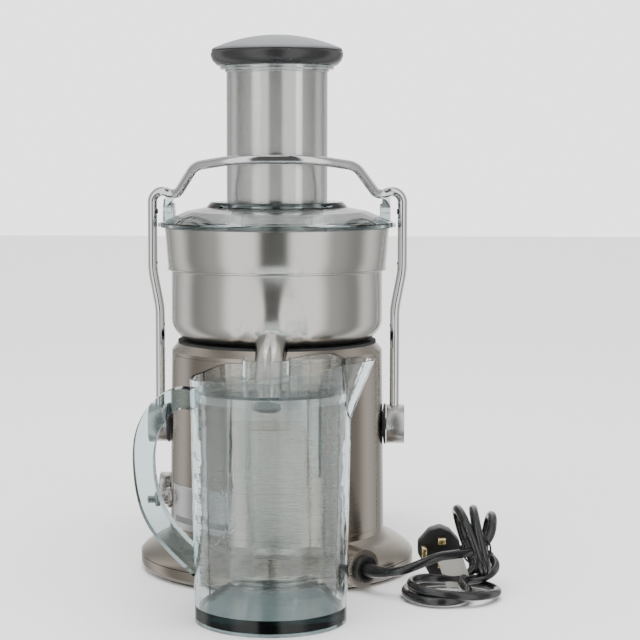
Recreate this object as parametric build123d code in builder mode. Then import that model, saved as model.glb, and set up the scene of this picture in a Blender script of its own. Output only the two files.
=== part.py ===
from build123d import *
import os
from math import cos, degrees, pi, radians, sin, tan

os.makedirs("parts", exist_ok=True)

# Centrifugal juicer. X right, Y towards the back, Z up, origin on the spin axis at the floor.

# ---- base ----
foot_ring_r = 108.0
foot_ring_w = 12.0
foot_ring_h = 2.5
base_r = 114.7
base_wall = 3.0
tray_top = 13.0
seam_gap = 0.5
boss_r = 38.0
boss_y = -88.0
boss_side_h = 16.0
boss_top_h = 28.0
lobe_angle = -50.0
lobe_r = 15.5
lobe_reach = 116.0
lobe_h = 17.0

# ---- housing ----
housing_low_r = 90.0
housing_top_r = 88.0
housing_z0 = 33.0
housing_z1 = 184.0
housing_top = 190.0
housing_lip_r = 83.0
housing_wall = 3.0
deck_r = 79.0
deck_t = 4.0
deck_ledge = 5.0
panel_t = 1.2
panel_low = 4.0
panel_high = 3.0
panel_half_angle = 68.0
badge_t = 1.0
badge_z0 = 40.0
badge_z1 = 76.0
badge_start = -156.0
badge_sweep = 44.0

# ---- drive ----
shaft_r = 6.0
shaft_z0 = 38.0
seal_r = shaft_r + 6.0
deck_collar_w = 6.0
deck_collar_h = 5.0
running = 0.3
bearing_r = 16.0
bearing_h = 9.0
lower_bearing_z = 42.0
upper_bearing_z = 158.0
frame_t = 7.0
screw_r = 2.2
stator_r = 52.0
stator_bore = 31.0
stator_z0 = 78.0
stator_h = 50.0
winding_h = 14.0
air_gap = 0.8
commutator_r = 15.0
commutator_z = 148.5
fan_r = 44.0
fan_z = 56.0
fan_h = 10.0
fan_blades = 12
coupling_r = 15.0
coupling_z0 = 197.0

# ---- bowl, basket and cover ----
gasket_t = 2.0
bowl_t = 1.6
bowl_low_r = 88.0
bowl_mid_r = 91.0
bowl_top_r = 93.5
bowl_step_z = 252.0
bowl_rim_z = 286.0
bowl_corner = 15.0
tower_r = 26.0
tower_top = 216.0
spout_r = 12.0
spout_t = 1.4
spout_start = (0, -66, 209)
spout_end = (0, -146, 149)
spout_clear = 2.0
mouth_tilt = 60.0
mouth_y = -140.0
mouth_z = 153.8
basket_r = 84.0
basket_z = 281.0
basket_t = 1.5
cutter_r = 41.0
cutter_z = 236.0
cutter_t = 3.0
cover_overhang = 3.5
cover_r = bowl_top_r + cover_overhang
cover_gap = 0.3
cover_t = 2.6
cover_edge = 5.0
plug_r = bowl_top_r - 4.0
plug_t = 2.2
plug_depth = 5.0
chute_r = 42.0
collar_r = chute_r + 15.0
collar_z = 307.0
dome_r = collar_r + 18.0
dome_z = 299.5
chute_wall = 2.2
chute_top = 419.0
chute_bottom = 247.0
chute_flange_r = chute_r + 5.2
chute_flange_t = 3.0
horn_x = cover_r - 6.0
horn_w = 7.0
horn_l = 22.0
horn_top = 309.4
duct_half = 44.0
duct_corner = 8.0
duct_y0 = 70.0
duct_reach = 205.0
duct_top = 297.0

# ---- pusher ----
pusher_fit = 0.5
sleeve_t = 1.4
foot_t = 5.0
cap_r = chute_r + 13.0
cap_split = 431.5
cap_top = 445.0
cap_gap = 0.5

# ---- locking arm ----
pivot_z = 121.0
washer_r = 17.0
hub_r = 16.3
hub_len = 15.0
hub_x0 = 92.0
arm_bar_r = 3.9
arm_low_x = 98.5
arm_top_x = 104.5
arm_clear = 3.1
bolt_r = 5.0

# ---- controls ----
dial_r = 13.0
dial_len = 9.5
dial_shaft_r = 3.6
dial_z = 63.0
control_y = 12.0
button_angle = 16.0
button_r = 3.0
button_travel = 2.5
button_out = 20.0
button_stem = 12.0
button_switch_r = 7.0
collar_out = 7.0

# ---- jug ----
jug_x = 6.0
jug_y = -184.0
jug_r = 57.0
jug_wall = 3.0
jug_floor = 12.0
jug_draft = 1.0
jug_left_rim = 182.0
jug_right_rim = 196.5
jug_rear_y = -113.0
bite_gap = 3.0
lip_reach = 83.0
lip_start_z = 140.0
notch_half = 16.5
notch_z = 134.0
notch_front_y = -162.0
handle_x = -96.0
handle_t = 15.0
handle_w = 17.0
handle_top_z = 172.0
handle_low_z = 32.0
lid_z = 172.0
lid_t = 2.5
lid_fit = 1.3
shroud_h = 19.0
separator_x = 43.0
separator_z = 113.0

# ---- pulp bin ----
bin_half = 78.0
bin_back = 238.0
bin_gap = 3.5
bin_top = 282.0
bin_wall = 2.4

# ---- cord and plug ----
cord_r = 3.6
grommet_r = 10.8
grommet_neck_r = grommet_r - 2.4
grommet_out = 4.0


def save(piece, name):
    piece.part.label = name
    export_step(piece.part, f"parts/{name}.step")
    return piece


def side_plane(angle):
    """A vertical plane through the spin axis, with its x axis at this angle from +X."""
    a = radians(angle)
    return Plane(origin=(0, 0, 0), x_dir=(cos(a), sin(a), 0), z_dir=(sin(a), -cos(a), 0))


def turned(points, plane=Plane.XZ, arc=360):
    """The solid of revolution about the spin axis of one closed outline of (radius, height) points."""
    with BuildPart() as solid:
        with BuildSketch(plane):
            with BuildLine():
                Polyline(*points, close=True)
            make_face()
        revolve(axis=Axis.Z, revolution_arc=arc)
    return solid.part


def ring(outer, inner, z0, z1):
    return turned([(inner, z0), (outer, z0), (outer, z1), (inner, z1)])


def disc(radius, z0, z1):
    return turned([(0, z0), (radius, z0), (radius, z1), (0, z1)])


def tube_between(start, end, radius):
    """A solid cylinder from one point to another."""
    run = Vector(*end) - Vector(*start)
    with BuildPart() as rod:
        with BuildSketch(Plane(origin=start, z_dir=run)):
            Circle(radius)
        extrude(amount=run.length)
    return rod.part


def block(at, size):
    """A box of this size centred at a point."""
    return Pos(*at) * Box(*size, mode=Mode.PRIVATE)


def housing_r(z):
    return housing_low_r + (housing_top_r - housing_low_r) * (z - housing_z0) / (housing_z1 - housing_z0)


lobe_dir = (cos(radians(lobe_angle)), sin(radians(lobe_angle)), 0)


def along_lobe(reach, z=lobe_h):
    return (lobe_dir[0] * reach, lobe_dir[1] * reach, z)


# ================= base =================
with BuildPart() as foot_ring:
    add(ring(foot_ring_r, foot_ring_r - foot_ring_w, 0, foot_ring_h))
save(foot_ring, "foot_ring")


def base_outer(shrink):
    """The base's outer form, moved in by a wall: flared disc, front boss and cord lobe."""
    slope = shrink * 0.9
    with BuildPart() as form:
        add(turned([(0, foot_ring_h), (base_r - 2.5 - shrink, foot_ring_h), (base_r - shrink, 5.5),
                    (base_r - shrink, 14.5), (base_r - 3 - shrink, 18), (housing_low_r + 13 - shrink, 24 - slope),
                    (housing_low_r + 3 - shrink, 29 - slope), (housing_low_r - shrink, housing_z0),
                    (0, housing_z0)]))
        with BuildSketch(Plane.XY.offset(foot_ring_h)):
            with Locations((0, boss_y)):
                Circle(boss_r - shrink)
        extrude(amount=boss_side_h - foot_ring_h - slope)
        with BuildSketch(Plane.XY.offset(boss_side_h - slope)):
            with Locations((0, boss_y)):
                Circle(boss_r - shrink)
        extrude(amount=boss_top_h - boss_side_h, taper=58)
        add(tube_between(along_lobe(60), along_lobe(lobe_reach - shrink), lobe_r - shrink))
        with BuildSketch(Plane.XY.offset(foot_ring_h)):
            Circle(base_r * 2)
        extrude(amount=-60, mode=Mode.SUBTRACT)
    return form.part


base_form = base_outer(0)
base_core = base_outer(base_wall)

with BuildPart() as base_skirt:
    add(base_form)
    add(base_core, mode=Mode.SUBTRACT)
    add(disc(base_r * 2, 0, tray_top + seam_gap), mode=Mode.SUBTRACT)
    add(disc(housing_low_r - base_wall, housing_z0 - 6, housing_z0 + 1), mode=Mode.SUBTRACT)
    add(tube_between(along_lobe(80), along_lobe(lobe_reach + 9), grommet_neck_r), mode=Mode.SUBTRACT)
save(base_skirt, "base_skirt")

with BuildPart() as tray_core:
    add(base_core)
    add(disc(base_r * 2, 0, foot_ring_h + base_wall), mode=Mode.SUBTRACT)

with BuildPart() as base_tray:
    add(base_form)
    add(tray_core.part, mode=Mode.SUBTRACT)
    add(disc(base_r * 2, tray_top, housing_z0 + 1), mode=Mode.SUBTRACT)
    add(tube_between(along_lobe(80), along_lobe(lobe_reach + 9), grommet_neck_r), mode=Mode.SUBTRACT)
save(base_tray, "base_tray")

# ================= housing =================
inner_low = housing_low_r - housing_wall
inner_top = housing_top_r - housing_wall
bay_r = min(inner_low, inner_top)
ledge_z = housing_top - deck_t - 7
housing_cone = turned([(0, 28), (housing_r(28) + panel_t, 28), (housing_r(170) + panel_t, 170), (0, 170)])
spout_void = tube_between(spout_start, spout_end, spout_r + spout_clear)

button_z = dial_z - 2
button_at = side_plane(180 + button_angle)


def on_button(reach):
    """A point on the power button's axis, this far from the spin axis."""
    return button_at.from_local_coords((reach, button_z, 0))


with BuildPart() as motor_housing:
    add(turned([(inner_low, housing_z0), (housing_low_r, housing_z0), (housing_top_r, housing_z1),
                (housing_lip_r, housing_top), (deck_r, housing_top), (deck_r, housing_top - deck_t),
                (deck_r - deck_ledge, housing_top - deck_t), (deck_r - deck_ledge, ledge_z + 4), (inner_top, ledge_z)]))
    add(spout_void, mode=Mode.SUBTRACT)
    for side in (-1, 1):
        add(tube_between((side * 70, 0, pivot_z), (side * 100, 0, pivot_z), bolt_r), mode=Mode.SUBTRACT)
    add(tube_between((-70, control_y, dial_z), (-100, control_y, dial_z), dial_shaft_r + 0.4), mode=Mode.SUBTRACT)
    add(tube_between(on_button(70), on_button(100), button_r + 0.5), mode=Mode.SUBTRACT)
save(motor_housing, "motor_housing")

with BuildPart() as top_deck:
    add(ring(deck_r, seal_r, housing_top - deck_t, housing_top))
    add(ring(seal_r + deck_collar_w, seal_r, housing_top, housing_top + deck_collar_h))
    add(spout_void, mode=Mode.SUBTRACT)
save(top_deck, "top_deck")

with BuildPart() as front_panel:
    z0, z1 = housing_z0 + panel_low, housing_z1 - panel_high
    add(turned([(housing_r(z0), z0), (housing_r(z0) + panel_t, z0), (housing_r(z1) + panel_t, z1),
                (housing_r(z1), z1)], side_plane(-90 - panel_half_angle), 2 * panel_half_angle))
    add(spout_void, mode=Mode.SUBTRACT)
    add(tube_between(on_button(70), on_button(100), button_r + 0.5), mode=Mode.SUBTRACT)
save(front_panel, "front_panel")

with BuildPart() as badge_plate:
    z0, z1 = badge_z0, badge_z1
    add(turned([(housing_r(z0) + panel_t, z0), (housing_r(z0) + panel_t + badge_t, z0),
                (housing_r(z1) + panel_t + badge_t, z1), (housing_r(z1) + panel_t, z1)],
               side_plane(badge_start), badge_sweep))
save(badge_plate, "badge_plate")

# ================= motor =================
stator_z1 = stator_z0 + stator_h
with BuildPart() as stator_core:
    add(ring(stator_r, stator_bore, stator_z0, stator_z1))
save(stator_core, "stator_core")

with BuildPart() as stator_windings:
    add(ring(stator_r - 5, stator_bore + 3, stator_z0 - winding_h, stator_z0))
    add(ring(stator_r - 5, stator_bore + 3, stator_z1, stator_z1 + winding_h))
save(stator_windings, "stator_windings")

with BuildPart() as rotor_core:
    add(ring(stator_bore - air_gap, shaft_r, stator_z0 + 1, stator_z1 - 1))
    add(ring(stator_bore - 7, shaft_r, stator_z1 - 1, stator_z1 + 10))
    add(ring(stator_bore - 7, shaft_r, stator_z0 - 8, stator_z0 + 1))
save(rotor_core, "rotor_core")

with BuildPart() as commutator:
    add(ring(commutator_r, shaft_r, stator_z1 + 10, commutator_z))
save(commutator, "commutator")

with BuildPart() as cooling_fan:
    add(ring(14, shaft_r, fan_z, fan_z + fan_h))
    add(ring(fan_r, 14, fan_z, fan_z + 2))
    with BuildSketch(Plane.XY.offset(fan_z + 2)):
        with PolarLocations((14 + fan_r) / 2, fan_blades):
            Rectangle(fan_r - 16, 1.8)
    extrude(amount=4)
save(cooling_fan, "cooling_fan")

shaft_top = cutter_z - 6
with BuildPart() as motor_shaft:
    add(disc(shaft_r, shaft_z0, shaft_top))
save(motor_shaft, "motor_shaft")

for bearing_name, bearing_z in (("lower_bearing", lower_bearing_z), ("upper_bearing", upper_bearing_z)):
    with BuildPart() as bearing:
        add(ring(bearing_r, shaft_r + running, bearing_z, bearing_z + bearing_h))
    save(bearing, bearing_name)


mount_reach = bay_r - 9.5


def end_frame(bearing_z, screwed):
    """A spider that carries a bearing: hub cup, web ring and four arms to the housing wall."""
    z0 = bearing_z - 1
    reach = bay_r - 1
    with BuildPart() as frame:
        add(disc(bearing_r + 4, z0, z0 + frame_t))
        with BuildSketch(Plane.XY.offset(z0)):
            Rectangle(2 * reach, 14)
            Rectangle(14, 2 * reach)
        extrude(amount=frame_t)
        add(ring(stator_r + 10, stator_r + 4, z0, z0 + frame_t))
        add(disc(bearing_r, bearing_z, bearing_z + bearing_h), mode=Mode.SUBTRACT)
        add(disc(shaft_r + 2, z0 - 1, z0 + frame_t + 4), mode=Mode.SUBTRACT)
        if screwed:
            for y in (mount_reach, -mount_reach):
                add(tube_between((0, y, z0 - 1), (0, y, z0 + frame_t + 1), screw_r), mode=Mode.SUBTRACT)
    return frame


save(end_frame(lower_bearing_z, True), "lower_end_frame")
save(end_frame(upper_bearing_z, False), "upper_end_frame")

rod_circle = stator_r + 7
rod_z0 = lower_bearing_z - 1 + frame_t
rod_z1 = upper_bearing_z - 1
with BuildPart() as stator_posts:
    with BuildSketch(Plane.XY.offset(rod_z0)):
        with PolarLocations(rod_circle, 4, start_angle=45):
            Circle(2.8)
    extrude(amount=rod_z1 - rod_z0)
save(stator_posts, "stator_posts")

with BuildPart() as stator_clamps:
    for z in (stator_z0 + 4, stator_z1 - 10):
        add(ring(stator_r + 10, stator_r, z, z + 6))
    with BuildSketch(Plane.XY.offset(rod_z0)):
        with PolarLocations(rod_circle, 4, start_angle=45):
            Circle(2.8)
    extrude(amount=rod_z1 - rod_z0, mode=Mode.SUBTRACT)
save(stator_clamps, "stator_clamps")

with BuildPart() as motor_mounts:
    with BuildSketch(Plane.XY.offset(foot_ring_h + base_wall)):
        with Locations((mount_reach, 0), (-mount_reach, 0)):
            Circle(7)
    extrude(amount=lower_bearing_z - 1 - foot_ring_h - base_wall)
save(motor_mounts, "motor_mounts")

with BuildPart() as mount_screws:
    with BuildSketch(Plane.XY.offset(foot_ring_h + base_wall)):
        with Locations((0, mount_reach), (0, -mount_reach)):
            Circle(screw_r)
    extrude(amount=lower_bearing_z - 1 + frame_t - foot_ring_h - base_wall)
    with BuildSketch(Plane.XY.offset(lower_bearing_z - 1 + frame_t)):
        with Locations((0, mount_reach), (0, -mount_reach)):
            Circle(screw_r + 2)
    extrude(amount=3)
save(mount_screws, "mount_screws")

brush_x = commutator_r + running
with BuildPart() as carbon_brushes:
    for side in (-1, 1):
        add(block((side * (brush_x + 7), 0, stator_z1 + 15), (14, 6, 7)))
save(carbon_brushes, "carbon_brushes")

with BuildPart() as brush_holders:
    for side in (-1, 1):
        add(block((side * (brush_x + 19), 0, (stator_z1 + 10 + rod_z1) / 2), (30, 12, rod_z1 - stator_z1 - 10)))
        add(block((side * (brush_x + 7), 0, stator_z1 + 15), (14, 6, 7)), mode=Mode.SUBTRACT)
        add(block((side * (stator_r - 10), 0, stator_z1), (40, 14, 2 * winding_h)), mode=Mode.SUBTRACT)
save(brush_holders, "brush_holders")

with BuildPart() as shaft_seal:
    add(ring(seal_r, shaft_r + running, housing_top - deck_t, housing_top + deck_collar_h))
save(shaft_seal, "shaft_seal")

coupling_top = cutter_z - 14
with BuildPart() as drive_coupling:
    add(ring(coupling_r, shaft_r, coupling_z0, coupling_top))
    with BuildSketch(Plane.XY.offset(coupling_z0 + 6)):
        with PolarLocations(coupling_r, 6):
            Circle(2.2)
    extrude(amount=coupling_top - coupling_z0 - 6)
save(drive_coupling, "drive_coupling")

# ================= controls =================
switch_x = 27 - bay_r
board_x = 29 - bay_r
board_y = bay_r - 39
with BuildPart() as speed_dial:
    dial_x = -(housing_r(dial_z) + 1.5)
    with BuildSketch(Plane(origin=(dial_x, control_y, dial_z), z_dir=(-1, 0, 0))):
        Circle(dial_r)
    extrude(amount=dial_len)
    chamfer(speed_dial.edges().filter_by(GeomType.CIRCLE).sort_by(Axis.X)[0], 1.2)
    add(tube_between((dial_x, control_y, dial_z), (switch_x - 10, control_y, dial_z), dial_shaft_r))
    with Locations((dial_x - dial_len, control_y, dial_z + dial_r - 4)):
        Box(1.2, 1.2, 5, mode=Mode.SUBTRACT)
save(speed_dial, "speed_dial")

with BuildPart() as rotary_switch:
    add(block((switch_x, control_y, dial_z), (18, 26, 26)))
    add(tube_between((switch_x - 11, control_y, dial_z), (switch_x - 2, control_y, dial_z), dial_shaft_r + 0.4),
        mode=Mode.SUBTRACT)
save(rotary_switch, "rotary_switch")

button_seat = housing_r(button_z)
with BuildPart() as power_button:
    add(tube_between(on_button(button_seat - button_stem), on_button(button_seat + button_out), button_r))
    add(tube_between(on_button(button_seat + collar_out + button_travel + 0.5),
                     on_button(button_seat + collar_out + button_travel + 4), button_r + 3))
save(power_button, "power_button")

with BuildPart() as button_collar:
    add(tube_between(on_button(button_seat - 3), on_button(button_seat + collar_out - 3), 8.5))
    add(tube_between(on_button(button_seat - 3), on_button(button_seat + collar_out), 5.5))
    add(tube_between(on_button(button_seat - 20), on_button(button_seat + 20), button_r + 0.5), mode=Mode.SUBTRACT)
    add(housing_cone, mode=Mode.SUBTRACT)
save(button_collar, "button_collar")

with BuildPart() as button_switch:
    add(tube_between(on_button(button_seat - button_stem - 18), on_button(button_seat - button_stem - button_travel - 0.5),
                     button_switch_r))
save(button_switch, "button_switch")

with BuildPart() as control_board:
    add(block((board_x, board_y, dial_z - 6), (3, 26, 44)))
save(control_board, "control_board")

with BuildPart() as interlock_switch:
    add(block((bay_r - 11, 24, pivot_z - 4), (8, 20, 12)))
save(interlock_switch, "interlock_switch")

switch_back = button_seat - button_stem - 16
switch_axis = Vector(*on_button(1)) - Vector(*on_button(0))
beyond_wall = turned([(inner_low, housing_z0), (200, housing_z0), (200, ledge_z), (inner_top, ledge_z)])
with BuildPart() as switch_bracket:
    for y in (-14.5, 14.5):
        add(block((switch_x - 15, control_y + y, dial_z), (34, 3, 24)))
    add(block((board_x - 5, board_y - 9, dial_z), (7, 20, 5)))
    with BuildSketch(Plane(origin=on_button(switch_back), z_dir=switch_axis)):
        Circle(button_switch_r + 2)
        Circle(button_switch_r, mode=Mode.SUBTRACT)
    extrude(amount=8)
    add(block((switch_x - 8, control_y - 19.5, dial_z), (14, 8, 10)))
    add(tube_between(on_button(button_seat - 40), on_button(button_seat), button_switch_r), mode=Mode.SUBTRACT)
    add(beyond_wall, mode=Mode.SUBTRACT)
save(switch_bracket, "switch_bracket")

# ================= locking arm =================
def on_pivot(side, start, end, radius):
    """A cylinder along the arm's pivot axis, on the left (-1) or the right (1)."""
    return tube_between((side * start, 0, pivot_z), (side * end, 0, pivot_z), radius)


with BuildPart() as arm_washers:
    for side in (-1, 1):
        add(on_pivot(side, housing_top_r - 6, hub_x0 - 0.4, washer_r))
        add(on_pivot(side, 70, 100, bolt_r), mode=Mode.SUBTRACT)
    add(housing_cone, mode=Mode.SUBTRACT)
save(arm_washers, "arm_washers")

hub_x1 = hub_x0 + hub_len
arm_foot_z = pivot_z + 8
with BuildPart() as arm_hubs:
    for side in (-1, 1):
        add(on_pivot(side, hub_x0, hub_x1, hub_r))
        add(on_pivot(side, hub_x0 - 5, hub_x1 - 4, bolt_r + running), mode=Mode.SUBTRACT)
        add(tube_between((side * arm_low_x, 0, arm_foot_z), (side * arm_low_x, 0, arm_foot_z + 20), arm_bar_r),
            mode=Mode.SUBTRACT)
save(arm_hubs, "arm_hubs")

with BuildPart() as pivot_bolts:
    for side in (-1, 1):
        add(on_pivot(side, 72, hub_x1 - 4.5, bolt_r))
        add(on_pivot(side, 72, housing_r(pivot_z) - housing_wall - 1, bolt_r + 4))
save(pivot_bolts, "pivot_bolts")

arm_front_y = -(chute_r + arm_bar_r + arm_clear)
arm_half = [
    (arm_low_x, 0, arm_foot_z),
    (arm_low_x, 0, 218),
    (arm_top_x, 0, 250),
    (arm_top_x, 0, 319.5),
    (84, -3, 312),
    (66, arm_front_y + 22, 337),
    (30, arm_front_y, 342.5),
]
arm_corners = [60, 60, 9, 9, 22, 60]
arm_points = arm_half + [(-x, y, z) for x, y, z in reversed(arm_half)]
arm_radii = arm_corners + list(reversed(arm_corners))
with BuildPart() as locking_arm:
    with BuildLine() as arm_path:
        FilletPolyline(*arm_points, radius=arm_radii)
    with BuildSketch(Plane(origin=arm_points[0], z_dir=(0, 0, 1))):
        Circle(arm_bar_r)
    sweep(path=arm_path.line)
save(locking_arm, "locking_arm")

# ================= bowl =================
with BuildPart() as bowl_gasket:
    add(ring(housing_lip_r, housing_lip_r - 13, housing_top, housing_top + gasket_t))
    add(spout_void, mode=Mode.SUBTRACT)
save(bowl_gasket, "bowl_gasket")

bowl_z = housing_top + gasket_t
spout_core = tube_between(spout_start, spout_end, spout_r - spout_t)


def bowl_outline(shift, floor):
    """The bowl's outer wall line, moved in by a wall."""
    corner_at = bowl_corner
    return [(bowl_low_r - shift - corner_at, floor), (bowl_low_r - shift - 0.38 * corner_at, floor + 0.2 * corner_at),
            (bowl_low_r - shift - 0.1 * corner_at, floor + 0.55 * corner_at), (bowl_low_r - shift, floor + corner_at),
            (bowl_low_r - shift, bowl_step_z - 1.5), (bowl_mid_r - shift, bowl_step_z),
            (bowl_top_r - shift, bowl_rim_z)]


outer_line = bowl_outline(0, bowl_z)
inner_line = bowl_outline(bowl_t, bowl_z + bowl_t)
with BuildPart() as filter_bowl:
    add(turned([(tower_r, bowl_z)] + outer_line + list(reversed(inner_line))
               + [(tower_r + bowl_t, bowl_z + bowl_t), (tower_r + bowl_t, tower_top), (tower_r, tower_top)]))
    add(spout_core, mode=Mode.SUBTRACT)
save(filter_bowl, "filter_bowl")

mouth_plane = Plane(origin=(0, mouth_y, mouth_z), z_dir=(0, -cos(radians(mouth_tilt)), -sin(radians(mouth_tilt))))
with BuildPart() as bowl_spout:
    add(tube_between(spout_start, spout_end, spout_r))
    add(turned([(0, bowl_z)] + outer_line + [(0, bowl_rim_z)]), mode=Mode.SUBTRACT)
    add(spout_core, mode=Mode.SUBTRACT)
    with BuildSketch(mouth_plane):
        Rectangle(5 * spout_r, 5 * spout_r)
    extrude(amount=40, mode=Mode.SUBTRACT)
save(bowl_spout, "bowl_spout")

# ================= basket =================
basket_floor = cutter_z - 6
with BuildPart() as basket_base:
    add(turned([(0, basket_floor), (cutter_r + 4, basket_floor), (cutter_r + 6, basket_floor + 8),
                (cutter_r + 2, basket_floor + 8), (cutter_r + 1, basket_floor + 3), (0, basket_floor + 3)]))
    add(ring(coupling_r + 6, coupling_r + 2.5, coupling_top - 12, basket_floor))
    add(ring(coupling_r + 2.6, coupling_r + 2.2, coupling_top - 1, basket_floor))
    add(disc(coupling_r + 2.5, coupling_top, basket_floor))
    add(disc(shaft_r, coupling_top - 1, basket_floor), mode=Mode.SUBTRACT)
save(basket_base, "basket_base")

mesh_z0 = basket_floor + 8
mesh_z1 = basket_z - 5
mesh_r0 = cutter_r + 6
mesh_r1 = basket_r - 4
with BuildPart() as filter_mesh:
    add(turned([(mesh_r0 - basket_t, mesh_z0), (mesh_r0, mesh_z0), (mesh_r1, mesh_z1), (mesh_r1 - basket_t, mesh_z1)]))
save(filter_mesh, "filter_mesh")

with BuildPart() as basket_rim:
    add(turned([(mesh_r1 - basket_t, mesh_z1), (mesh_r1, mesh_z1), (basket_r, mesh_z1 + 1), (basket_r, basket_z),
                (basket_r - 2, basket_z), (basket_r - 2, mesh_z1 + 2.5), (mesh_r1 - basket_t, mesh_z1 + 1.5)]))
save(basket_rim, "basket_rim")

with BuildPart() as cutting_disc:
    add(disc(cutter_r, basket_floor + 3, basket_floor + 3 + cutter_t))
    with BuildSketch(Plane.XY.offset(basket_floor + 3 + cutter_t)):
        for ring_r, count in ((12, 6), (22, 12), (32, 18)):
            with PolarLocations(ring_r, count):
                Rectangle(3.2, 1.2, rotation=35)
    extrude(amount=1.4)
save(cutting_disc, "cutting_disc")

# ================= cover =================
cover_z = bowl_rim_z + cover_gap
with BuildPart() as juicer_cover:
    add(turned([(plug_r - plug_t, cover_z - plug_depth), (plug_r, cover_z - plug_depth), (plug_r, cover_z),
                (cover_r, cover_z), (cover_r, cover_z + 4), (cover_r - cover_edge, cover_z + 6), (dome_r, dome_z), (collar_r + 2, dome_z + 3),
                (collar_r, collar_z - 2), (collar_r - 2, collar_z), (chute_r, collar_z),
                (chute_r, chute_top - chute_flange_t), (chute_flange_r, chute_top - 0.8 * chute_flange_t), (chute_flange_r, chute_top), (chute_r - chute_wall, chute_top),
                (chute_r - chute_wall, chute_bottom), (chute_r, chute_bottom), (chute_r, collar_z - cover_t - 2),
                (collar_r - 2, collar_z - cover_t - 2), (dome_r - 1, dome_z - cover_t), (plug_r - plug_t, cover_z + 2.5)]))
    with BuildSketch(Plane.XY.offset(cover_z)):
        with Locations((0, (duct_y0 + duct_reach) / 2)):
            RectangleRounded(2 * duct_half, duct_reach - duct_y0, duct_corner)
    extrude(amount=duct_top - cover_z)
    with BuildSketch(Plane.XY.offset(cover_z - 1)):
        with Locations((0, (duct_y0 + duct_reach) / 2)):
            RectangleRounded(2 * (duct_half - cover_t), duct_reach - duct_y0 - 2 * cover_t, duct_corner - 2)
    extrude(amount=duct_top - cover_z + 1 - cover_t, mode=Mode.SUBTRACT)
    for side in (-1, 1):
        with BuildSketch(Plane.YZ.offset(side * horn_x - horn_w / 2)):
            with BuildLine():
                Polyline((-horn_l / 2, cover_z + 4), (horn_l / 2, cover_z + 4), (horn_l / 2 - 2, horn_top + 5),
                         (horn_l / 2 - 6, horn_top + 5), (4.5, horn_top), (-3.5, horn_top), (-horn_l / 2, horn_top - 7),
                         close=True)
            make_face()
        extrude(amount=horn_w)
        with Locations((side * (cover_r - 1), 0, cover_z + 1.5)):
            Box(6, 16, 3)
save(juicer_cover, "juicer_cover")

with BuildPart() as cover_seal:
    add(ring(plug_r + 1.4, plug_r, cover_z - 4, cover_z - 1.5))
save(cover_seal, "cover_seal")

# ================= pusher =================
sleeve_r = chute_r - chute_wall - pusher_fit
cap_z = chute_top + cap_gap
with BuildPart() as pusher_sleeve:
    add(ring(sleeve_r, sleeve_r - sleeve_t, chute_bottom + foot_t + 1, cap_z))
save(pusher_sleeve, "pusher_sleeve")

with BuildPart() as pusher_foot:
    add(disc(sleeve_r, chute_bottom + 1, chute_bottom + foot_t + 1))
    add(ring(sleeve_r - sleeve_t, sleeve_r - sleeve_t - 3, chute_bottom + foot_t + 1, chute_bottom + foot_t + 9))
save(pusher_foot, "pusher_foot")

with BuildPart() as pusher_cap_base:
    add(turned([(sleeve_r - sleeve_t - 3, cap_z - 10), (sleeve_r - sleeve_t, cap_z - 10), (sleeve_r - sleeve_t, cap_z),
                (cap_r - 5.5, cap_z), (cap_r - 1.5, cap_z + 4), (cap_r, cap_z + 8), (cap_r, cap_split - 1.5),
                (cap_r - 1, cap_split), (0, cap_split), (0, cap_split - 3), (sleeve_r - sleeve_t - 3, cap_split - 3)]))
save(pusher_cap_base, "pusher_cap_base")

cap_rise = cap_top - cap_split - 2
cap_edge_r = cap_r - 1
dome_sphere_r = (cap_edge_r ** 2 + cap_rise ** 2) / (2 * cap_rise)
with BuildPart() as pusher_cap:
    add(disc(cap_edge_r, cap_split, cap_split + 2))
    with Locations((0, 0, cap_top - dome_sphere_r)):
        Sphere(dome_sphere_r)
    add(disc(2 * dome_sphere_r, cap_top - 2 * dome_sphere_r - 1, cap_split + 2), mode=Mode.SUBTRACT)
    add(disc(cap_edge_r, cap_split, cap_split + 2))
save(pusher_cap, "pusher_cap")

# ================= jug =================
jug_half_back = 41.0


def jug_section(shift):
    """The jug's plan outline, moved in by a wall: round front, straight sides, hollowed back."""
    with BuildSketch() as section:
        with Locations((jug_x, jug_y)):
            Circle(jug_r)
        with BuildLine():
            Polyline((jug_x - jug_r, jug_y), (jug_x - jug_half_back, jug_rear_y), (jug_x + jug_half_back, jug_rear_y),
                     (jug_x + jug_r, jug_y), close=True)
        make_face()
        fillet(section.vertices().sort_by(Axis.Y)[-2:], 9)
        with Locations((0, boss_y)):
            Circle(boss_r + bite_gap, mode=Mode.SUBTRACT)
        if shift:
            offset(amount=-shift, kind=Kind.ARC, mode=Mode.REPLACE)
    return section.sketch


rim_slope = (jug_right_rim - jug_left_rim) / (lip_reach - (jug_x - jug_r))
rim_plane = Plane(origin=(jug_x - jug_r, 0, jug_left_rim), z_dir=(-rim_slope, 0, 1))


def jug_solid(shift, z0):
    """The jug's form, moved in by a wall and starting at z0, with the pouring lip."""
    with BuildPart() as form:
        with BuildSketch(Plane.XY.offset(z0)):
            add(jug_section(shift + z0 * -tan(radians(jug_draft))))
        extrude(amount=jug_right_rim + 10 - z0, taper=-jug_draft)
        with BuildSketch(Plane.XY.offset(lip_start_z + shift)):
            with Locations((jug_x + 20, jug_y)):
                Ellipse(jug_r - 22 - shift, 32 - shift)
        with BuildSketch(Plane.XY.offset(jug_right_rim + 4)):
            with Locations((jug_x + 24, jug_y)):
                Ellipse(lip_reach + 2 - jug_x - 24 - shift, 30 - shift)
        loft()
        with BuildSketch(rim_plane):
            Rectangle(600, 600)
        extrude(amount=60, mode=Mode.SUBTRACT)
    return form.part


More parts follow.
